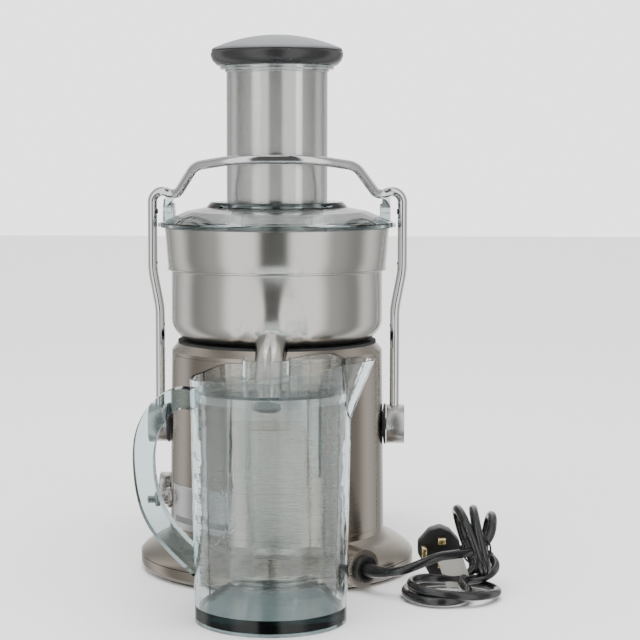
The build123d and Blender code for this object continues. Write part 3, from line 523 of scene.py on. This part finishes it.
# A thin raised band on the housing wall, between two bearings measured from the front.
def addTrim(name, arcStart, arcEnd, z, radial, thick, high, material):
    inner, outer = wallR(z) + radial, wallR(z) + radial + thick
    outline = [(inner, z - high / 2), (outer, z - high / 4), (outer, z + high / 4), (inner, z + high / 2)]
    bm = bmesh.new()
    spinArc(bm, outline, arcStart, arcEnd - arcStart, 64)
    return finishMesh(bm, name, "base", material, 40)


# A slim upright bead on the housing wall, at a bearing from the front.
def addUpright(name, bearing, lowZ, highZ, thick, wide, material):
    bm = bmesh.new()
    bmesh.ops.create_cube(bm, size=1)
    bmesh.ops.scale(bm, vec=(wide / 1000, thick / 1000, (highZ - lowZ) / 1000), verts=bm.verts)
    bmesh.ops.bevel(bm, geom=bm.edges[:], offset=0.00035, offset_type="OFFSET", segments=2, profile=0.5,
                    affect="EDGES", clamp_overlap=True, material=-1)
    middle = (lowZ + highZ) / 2
    lean = math.atan2(housingSettings["lowR"] - housingSettings["topR"],
                      housingSettings["highZ"] - housingSettings["lowZ"])
    bmesh.ops.rotate(bm, verts=bm.verts, cent=(0, 0, 0), matrix=Matrix.Rotation(-lean, 3, "X"))
    bmesh.ops.translate(bm, verts=bm.verts, vec=(0, -(wallR(middle) + thick / 2) / 1000, middle / 1000))
    bmesh.ops.rotate(bm, verts=bm.verts, cent=(0, 0, 0), matrix=turnOf(bearing, "Z"))
    return finishMesh(bm, name, "base", material, 40)


panelHalf = panelSettings["halfArc"]
for side, sideName in ((-1, "Left"), (1, "Right")):
    addUpright("panelEdge" + sideName, side * (panelHalf + 0.6), panelSettings["lowZ"],
               panelSettings["highZ"], panelSettings["edgeOut"], panelSettings["edgeWide"], "champagneMetal")
addTrim("panelFootBead", -panelHalf, panelHalf, panelSettings["lowZ"] + 0.4, 0.6, 0.9, 1.6, "champagneMetal")

# the last four entries place a dark stripe of painted shadow along the badge's lower edge
badgeSettings = {"wide": 69.0, "tall": 36.0, "cornerR": 15.0, "bearing": -44.0, "middleZ": 58.0,
                 "thick": 0.9, "rimWide": 1.1, "rimHigh": 0.35, "bendR": 91.0, "shadowStart": -62,
                 "shadowEnd": -26.5, "shadowZ": 47.5, "shadowTall": 5.0}


# A plain plate with a rounded end and a raised rim, and one dark stripe along its foot that is painted
# shadow from the plate's lower edge.
def addBadge():
    wide, tall, cornerR = badgeSettings["wide"], badgeSettings["tall"], badgeSettings["cornerR"]
    bm = bmesh.new()
    bmesh.ops.create_grid(bm, x_segments=46, y_segments=18, size=0.5)
    bmesh.ops.scale(bm, vec=(wide, tall, 1), verts=bm.verts)
    for vert in bm.verts:
        along, up = vert.co.x - (wide / 2 - cornerR), abs(vert.co.y) - (tall / 2 - cornerR)
        if along > 0 and up > 0 and math.hypot(along, up) > cornerR:
            pull = cornerR / math.hypot(along, up)
            vert.co.x = wide / 2 - cornerR + along * pull
            vert.co.y = math.copysign(tall / 2 - cornerR + up * pull, vert.co.y)
    raised = bmesh.ops.extrude_face_region(bm, geom=bm.faces[:])["geom"]
    top = [item for item in raised if isinstance(item, bmesh.types.BMVert)]
    topFaces = [item for item in raised if isinstance(item, bmesh.types.BMFace)]
    bmesh.ops.translate(bm, verts=top, vec=(0, 0, badgeSettings["thick"]))
    bmesh.ops.inset_region(bm, faces=topFaces, thickness=badgeSettings["rimWide"], use_even_offset=True)
    field = list({vert for face in topFaces for vert in face.verts})
    bmesh.ops.translate(bm, verts=field, vec=(0, 0, -badgeSettings["rimHigh"]))
    for vert in bm.verts:
        z = badgeSettings["middleZ"] + vert.co.y
        reach = wallR(z) + panelSettings["thick"] + vert.co.z + 0.02
        angle = math.radians(badgeSettings["bearing"]) + vert.co.x / badgeSettings["bendR"]
        vert.co = Vector((math.sin(angle) * reach, -math.cos(angle) * reach, z)) / 1000
    plate = finishMesh(bm, "badgePlate", "base", "badgeSatin", 30)
    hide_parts("badge_plate")
    # a dark stripe of painted shadow along the plate's lower edge
    addTrim("badgeStripe", badgeSettings["shadowStart"], badgeSettings["shadowEnd"],
            badgeSettings["shadowZ"], 1.85, 0.25, badgeSettings["shadowTall"], "badgeStripe")


addBadge()
print("housing trim and badge made")

bowlSettings = {"steps": 224, "creaseDeg": 17.0, "creaseDeep": 1.5, "creaseWide": 2.6, "bulge": 3.2,
                "floorZ": 192.0, "fadeTall": 40.0}
bowlOutline = [(27.6, 192.0), (66, 192.0), (73, 192.15), (77.5, 193.6), (81.5, 196.2), (85, 200.2),
               (87.2, 204.4), (88.0, 208.5), (88.0, 220), (88.0, 235), (88.0, 249.6),
               (88.3, 250.6), (90.4, 251.5), (90.9, 252.4), (91.6, 262), (92.4, 272),
               (93.2, 282.4), (93.5, 284.2), (93.4, 285.6), (92.4, 286.0), (91.5, 285.6),
               (91.2, 284), (90.6, 270), (89.4, 254), (86.6, 250), (86.5, 209), (83.6, 201),
               (76, 195), (66, 193.6), (29.2, 193.6), (29.2, 215.6), (27.6, 216)]


def addBowl():
    bm = bmesh.new()
    spinOutline(bm, bowlOutline, bowlSettings["steps"])
    for vert in bm.verts:
        x, y, z = vert.co * 1000
        radius = math.hypot(x, y)
        if y > -40 or z > 232 or radius < 55:
            continue
        bearing = abs(math.degrees(math.atan2(x, -y)))
        # the floor runs down into the spout, between two pressed creases
        depth = max(0.0, 1 - max(0.0, z - bowlSettings["floorZ"]) / bowlSettings["fadeTall"])
        crease = bowlSettings["creaseDeg"] * (0.55 + 0.9 * depth) - 4.0
        fan = 1 / (1 + math.exp((bearing - crease * 0.62) / 1.5))
        dent = math.exp(-((bearing - crease) / bowlSettings["creaseWide"]) ** 2) * depth
        swell = bowlSettings["bulge"] * fan * math.sin(math.pi * min(1, depth)) * 0.75
        push = swell - bowlSettings["creaseDeep"] * dent
        factor = (radius + push) / radius
        vert.co.x *= factor
        vert.co.y *= factor
    bowl = finishMesh(bm, "bowlShell", "base", "spunSteel", 40)
    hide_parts("filter_bowl")


spoutSettings = {"start": (0, -74, 203), "end": (0, -146, 149), "bore": 10.6, "mouth": (0, -140, 153.8),
                 "mouthTilt": 60.0}
spoutProfile = [(0.00, 13.4), (0.05, 13.0), (0.10, 12.4), (0.16, 12.0), (0.5, 12.0), (1.0, 12.0)]


# The spout tube: rings along its axis, flared at the neck and cut level at the mouth.
def addSpout():
    start, end = Vector(spoutSettings["start"]), Vector(spoutSettings["end"])
    axis = (end - start).normalized()
    length = (end - start).length
    bm = bmesh.new()
    outline = [(r, part * length) for part, r in spoutProfile]
    outline += [(spoutSettings["bore"], part * length) for part, r in reversed(spoutProfile)]
    spinOutline(bm, outline, 64)
    turn = Vector((0, 0, 1)).rotation_difference(axis).to_matrix()
    bmesh.ops.rotate(bm, verts=bm.verts, cent=(0, 0, 0), matrix=turn)
    bmesh.ops.translate(bm, verts=bm.verts, vec=start / 1000)
    tilt = math.radians(spoutSettings["mouthTilt"])
    normal = Vector((0, -math.cos(tilt), -math.sin(tilt)))
    cut = bmesh.ops.bisect_plane(bm, geom=bm.verts[:] + bm.edges[:] + bm.faces[:], clear_outer=True,
                                 plane_co=Vector(spoutSettings["mouth"]) / 1000, plane_no=normal)
    rim = [item for item in cut["geom_cut"] if isinstance(item, bmesh.types.BMEdge)]
    bmesh.ops.bridge_loops(bm, edges=rim)
    spout = finishMesh(bm, "spoutTube", "base", "spunSteel", 40)
    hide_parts("bowl_spout")


addBowl()
addSpout()
print("bowl and spout made")


ribSettings = {"uprightX": 86.6, "uprightY": (-7.5, -2.5, 2.5, 7.5), "uprightZ": 299.0,
               "uprightSize": (1.8, 1.1, 13), "levelX": 91, "levelY": -11.3, "levelZ": (298, 303.5),
               "levelSize": (6.2, 0.9, 1.0)}


# A block added to a bmesh, in millimetres.
def addBox(bm, centre, size):
    made = bmesh.ops.create_cube(bm, size=1)["verts"]
    bmesh.ops.scale(bm, vec=[value / 1000 for value in size], verts=made)
    bmesh.ops.translate(bm, verts=made, vec=[value / 1000 for value in centre])


# Strengthening ribs on the cover's two lugs.
def addHornRibs():
    bm = bmesh.new()
    for side in (-1, 1):
        for y in ribSettings["uprightY"]:
            place = (side * ribSettings["uprightX"], y, ribSettings["uprightZ"])
            addBox(bm, place, ribSettings["uprightSize"])
        for z in ribSettings["levelZ"]:
            place = (side * ribSettings["levelX"], ribSettings["levelY"], z)
            addBox(bm, place, ribSettings["levelSize"])
    bmesh.ops.bevel(bm, geom=bm.edges[:], offset=0.00025, offset_type="OFFSET", segments=2, profile=0.5,
                    affect="EDGES", clamp_overlap=True, material=-1)
    finishMesh(bm, "hornRibs", "cover", "coverClear", 30)


# height, distance from the middle and radius of each stop on the arm's uprights
armStops = [(299, 100.4, 2.4), (256, 100.8, 1.2), (204, 95.0, 1.2)]


# Small dark stops on the inner side of each arm upright.
def addArmClips():
    bm = bmesh.new()
    for side in (-1, 1):
        for z, x, radius in armStops:
            made = bmesh.ops.create_cone(bm, cap_ends=True, cap_tris=False, segments=20,
                                         radius1=radius / 1000, radius2=radius * 0.8 / 1000,
                                         depth=0.0012)["verts"]
            bmesh.ops.rotate(bm, verts=made, cent=(0, 0, 0), matrix=turnOf(90, "Y"))
            bmesh.ops.translate(bm, verts=made, vec=(side * x / 1000, -0.0008, z / 1000))
    finishMesh(bm, "armStops", "arm", "mouldedBlack", 40)


addHornRibs()
addArmClips()
beadRings = {
    "capSeam": ("pusher", "mouldedBlack", [(53.6, 430.9), (54.35, 430.9), (54.35, 432.0), (53.6, 432.0)]),
    "chuteBead": ("cover", "coverClear", [(42.0, 416.2), (43.2, 415.6), (43.2, 414.4), (42.0, 413.8)]),
    "sleeveBand": ("pusher", "spunSteel", [(38.4, 408), (39.45, 408), (39.45, 418.6), (38.4, 418.6)]),
    "bowlBead": ("base", "spunSteel", [(90.3, 250.7), (91.5, 251.3), (91.6, 252.2), (90.6, 252.9)]),
}
for ringName, (ringBody, ringFinish, ringOutline) in beadRings.items():
    ringMesh = bmesh.new()
    spinOutline(ringMesh, ringOutline)
    finishMesh(ringMesh, ringName, ringBody, ringFinish)
print("ribs, clips and beads made")

jugSettings = {"centre": (6, -184), "radius": 57.0, "draft": 1.0}
markSettings = {"lowZ": 31.0, "step": 15.6, "count": 7, "between": 3, "start": -56.0, "longArc": 8.0,
                "shortArc": 4.5, "tall": 0.5, "inset": 0.08, "raise": 0.12, "numberBearing": -66.5,
                "numberSize": 0.006}


def jugWallR(z):
    return jugSettings["radius"] + math.tan(math.radians(jugSettings["draft"])) * z


# Level marks up the left of the jug's front, every third one long.
def addJugLines():
    bm = bmesh.new()
    half = markSettings["tall"] / 2
    for index in range((markSettings["count"] - 1) * markSettings["between"] + 1):
        z = markSettings["lowZ"] + index * markSettings["step"] / markSettings["between"]
        arc = markSettings["shortArc"] if index % markSettings["between"] else markSettings["longArc"]
        low, high = jugWallR(z - half) + markSettings["inset"], jugWallR(z + half) + markSettings["inset"]
        outline = [(low, z - half), (low + markSettings["raise"], z - half),
                   (high + markSettings["raise"], z + half), (high, z + half)]
        spinArc(bm, outline, markSettings["start"], -arc, 6, jugSettings["centre"])
    finishMesh(bm, "jugLines", "jug", "printedMark", 30)


# A plain number beside each long mark, turned to lie against the wall.
def addJugNumber(number, z):
    data = bpy.data.curves.new("number", "FONT")
    data.body = str(number)
    data.size = markSettings["numberSize"]
    data.extrude = 0.00006
    data.resolution_u = 3
    data.align_x = "CENTER"
    text = bpy.data.objects.new("number", data)
    scene.collection.objects.link(text)
    bpy.context.view_layer.update()
    mesh = bpy.data.meshes.new_from_object(text)
    bpy.data.objects.remove(text)
    bearing = math.radians(markSettings["numberBearing"])
    reach = jugWallR(z) + 0.12
    place = Vector((jugSettings["centre"][0] + math.sin(bearing) * reach,
                    jugSettings["centre"][1] - math.cos(bearing) * reach, z)) / 1000
    turn = Matrix.Rotation(bearing, 4, "Z") @ Matrix.Rotation(math.radians(90), 4, "X")
    mesh.transform(Matrix.Translation(place) @ turn)
    bm = bmesh.new()
    bm.from_mesh(mesh)
    finishMesh(bm, f"jugNumber{number}", "jug", "printedMark", 30)


addJugLines()
for markIndex in range(markSettings["count"]):
    addJugNumber(5 * (markIndex + 1), markSettings["lowZ"] + markIndex * markSettings["step"] + 0.8)
print("jug marks made")

# Points along the cord, read from its own spline.
def cordLine():
    bare = powerCord.data.copy()
    bare.bevel_depth = 0
    holder = bpy.data.objects.new("line", bare)
    scene.collection.objects.link(holder)
    bpy.context.view_layer.update()
    mesh = bpy.data.meshes.new_from_object(holder)
    line = [vert.co.copy() for vert in mesh.vertices]
    bpy.data.objects.remove(holder)
    return line


# A round sleeve that follows the cord, with the radii given at even steps along it.
def sleeveAlong(name, line, sizes, material, segments=28):
    bm = bmesh.new()
    rings = []
    lengths = [0.0]
    for a, b in zip(line, line[1:]):
        lengths.append(lengths[-1] + (b - a).length)
    for index, radius in enumerate(sizes):
        want = lengths[-1] * index / (len(sizes) - 1)
        spot = max(i for i, value in enumerate(lengths) if value <= want + 1e-9)
        spot = min(spot, len(line) - 2)
        part = (want - lengths[spot]) / max(1e-9, lengths[spot + 1] - lengths[spot])
        centre = line[spot].lerp(line[spot + 1], part)
        along = (line[min(spot + 2, len(line) - 1)] - line[max(spot - 1, 0)]).normalized()
        made = bmesh.ops.create_circle(bm, segments=segments, radius=radius / 1000)["verts"]
        turn = Vector((0, 0, 1)).rotation_difference(along).to_matrix()
        bmesh.ops.rotate(bm, verts=made, cent=(0, 0, 0), matrix=turn)
        bmesh.ops.translate(bm, verts=made, vec=centre)
        rings.append(made)
    bridgeRings(bm, rings)
    for ring in (rings[0], rings[-1]):
        bm.faces.new(ring)
    return finishMesh(bm, name, "base", material, 40)


# The part of a line between two distances along it, in metres.
def cutLine(line, start, end):
    kept, done = [], 0.0
    for a, b in zip(line, line[1:]):
        if start <= done <= end:
            kept.append(a)
        done += (b - a).length
    return kept


cordPath = cordLine()
cordTotal = sum((b - a).length for a, b in zip(cordPath, cordPath[1:]))
# radii of the tapered sleeves at even steps, the plug's one ribbed
exitRadii = [5.9, 5.6, 5.2, 4.8, 4.4, 4.0]
plugRadii = [4.0, 4.6, 4.2, 5.0, 4.6, 5.4, 5.0, 5.9, 5.5, 6.2, 6.2]
exitSleeve = sleeveAlong("cordRelief", cutLine(cordPath, 0.001, 0.026), exitRadii, "cordBlack")
plugEnd = cutLine(cordPath, cordTotal - 0.030, cordTotal)
plugRelief = sleeveAlong("plugRelief", plugEnd, plugRadii, "mouldedBlack")


tieSettings = {"centre": (163, -108.5, 38), "halfWide": 11, "halfTall": 12, "radius": 0.8, "steps": 40}
tagSettings = {"wide": 20.0, "tall": 26.0, "bow": 1.6, "thick": 0.0004, "roll": -18, "lean": -25,
               "place": (0.146, -0.094, 0.0185)}


# A thin twist tie round the crossing turns.
def addTie():
    bm = bmesh.new()
    path = loopPoints(tieSettings["centre"], (tieSettings["halfWide"], 0, 0),
                      (0, 0, tieSettings["halfTall"]), 0, 360, tieSettings["steps"])
    rings = []
    for index, point in enumerate(path[:-1]):
        ring = bmesh.ops.create_circle(bm, segments=6, radius=tieSettings["radius"] / 1000)["verts"]
        bmesh.ops.rotate(bm, verts=ring, cent=(0, 0, 0), matrix=turnOf(90, "Z"))
        bmesh.ops.rotate(bm, verts=ring, cent=(0, 0, 0),
                         matrix=turnOf(-360 * index / tieSettings["steps"], "Y"))
        bmesh.ops.translate(bm, verts=ring, vec=Vector(point) / 1000)
        rings.append(ring)
    bridgeRings(bm, rings, closed=True)
    return finishMesh(bm, "cordTie", "base", "mouldedBlack", 60)


# A blank card tag lying against the turns, slightly bowed.
def addTag():
    bm = bmesh.new()
    bmesh.ops.create_grid(bm, x_segments=14, y_segments=18, size=0.5)
    for vert in bm.verts:
        across, up = vert.co.x, vert.co.y
        bow = tagSettings["bow"] * (1 - 4 * across * across)
        vert.co = Vector((across * tagSettings["wide"], -bow, up * tagSettings["tall"])) / 1000
    for angle, axis in ((tagSettings["roll"], "Y"), (tagSettings["lean"], "X")):
        bmesh.ops.rotate(bm, verts=bm.verts, cent=(0, 0, 0), matrix=turnOf(angle, axis))
    bmesh.ops.translate(bm, verts=bm.verts, vec=tagSettings["place"])
    bmesh.ops.solidify(bm, geom=bm.faces[:], thickness=tagSettings["thick"])
    return finishMesh(bm, "blankTag", "base", "tagCard", 40)


cordTie = addTie()
blankTag = addTag()
print("cord fittings made, cord", round(cordTotal, 3), "m")

lightSettings = {"seen": 2.6, "key": 9, "fill": 7, "top": 12, "sky": 3.6, "floor": 0.98,
                 "aim": (0, 0, 0.2)}
# brightness round the horizon, from straight in front (0) to straight behind (1)
surroundStops = [(0.0, 0.10), (0.06, 0.12), (0.12, 1.5), (0.26, 1.5), (0.36, 0.55), (0.54, 0.32),
                 (0.64, 1.0), (0.80, 0.4), (1.0, 1.5)]


# A soft box aimed at the middle of the machine, kept out of the metals' reflections.
def addLight(name, place, size, power):
    data = bpy.data.lights.new(name, "AREA")
    data.shape = "RECTANGLE"
    data.size = size[0]
    data.size_y = size[1]
    data.energy = power
    light = bpy.data.objects.new(name, data)
    light.location = place
    light.rotation_euler = (Vector(lightSettings["aim"]) - Vector(place)).to_track_quat("-Z", "Y").to_euler()
    light.visible_glossy = False
    scene.collection.objects.link(light)


# Soft boxes either side of a dark front, as a ramp round the horizon; what is seen directly is plain.
def addWorld():
    world = bpy.data.worlds.new("studio")
    world.use_nodes = True
    nodes, links = world.node_tree.nodes, world.node_tree.links
    coords = nodes.new("ShaderNodeTexCoord")
    parts = nodes.new("ShaderNodeSeparateXYZ")
    links.new(coords.outputs["Generated"], parts.inputs["Vector"])
    forward = mathNode(nodes, links, "MULTIPLY", parts.outputs["Y"], -1)
    bearing = mathNode(nodes, links, "ARCTAN2", parts.outputs["X"], forward)
    share = mathNode(nodes, links, "DIVIDE", mathNode(nodes, links, "ABSOLUTE", bearing), math.pi)
    ramp = nodes.new("ShaderNodeValToRGB")
    ramp.color_ramp.interpolation = "EASE"
    while len(ramp.color_ramp.elements) < len(surroundStops):
        ramp.color_ramp.elements.new(0.5)
    for element, (place, level) in zip(ramp.color_ramp.elements, surroundStops):
        element.position = place
        element.color = (level, level, level * 0.985, 1)
    links.new(share, ramp.inputs["Fac"])
    surround = nodes["Background"]
    links.new(ramp.outputs["Color"], surround.inputs["Color"])
    surround.inputs["Strength"].default_value = 1.0
    seen = nodes.new("ShaderNodeBackground")
    seen.inputs["Color"].default_value = (1, 1, 1, 1)
    seen.inputs["Strength"].default_value = lightSettings["seen"]
    rays = nodes.new("ShaderNodeLightPath")
    mix = nodes.new("ShaderNodeMixShader")
    links.new(rays.outputs["Is Camera Ray"], mix.inputs["Fac"])
    links.new(surround.outputs["Background"], mix.inputs[1])
    links.new(seen.outputs["Background"], mix.inputs[2])
    links.new(mix.outputs["Shader"], nodes["World Output"].inputs["Surface"])
    scene.world = world


def addStudio():
    bm = bmesh.new()
    bmesh.ops.create_grid(bm, x_segments=1, y_segments=1, size=6)
    floorMesh = bpy.data.meshes.new("floor")
    bm.to_mesh(floorMesh)
    bm.free()
    floor = bpy.data.objects.new("floor", floorMesh)
    scene.collection.objects.link(floor)
    floorPaint, nodes, links, shader = newMaterial("floorPaint")
    level = lightSettings["floor"]
    shader.inputs["Base Color"].default_value = (level, level, level, 1)
    shader.inputs["Roughness"].default_value = 0.7
    floorMesh.materials.append(floorPaint)
    floor.visible_glossy = False
    addWorld()
    addLight("keyLight", (-1.5, -1.4, 1.3), (0.9, 1.6), lightSettings["key"])
    addLight("fillLight", (1.7, -1.1, 1.0), (0.6, 1.6), lightSettings["fill"])
    addLight("topLight", (0, 0.3, 1.9), (1.4, 1.0), lightSettings["top"])
    skyData = bpy.data.lights.new("skyLight", "SUN")
    skyData.energy = lightSettings["sky"]
    skyData.angle = math.radians(70)
    skyLight = bpy.data.objects.new("skyLight", skyData)
    skyLight.location = (0, 0, 3)
    skyLight.visible_glossy = False
    scene.collection.objects.link(skyLight)


addStudio()
print("studio lit")
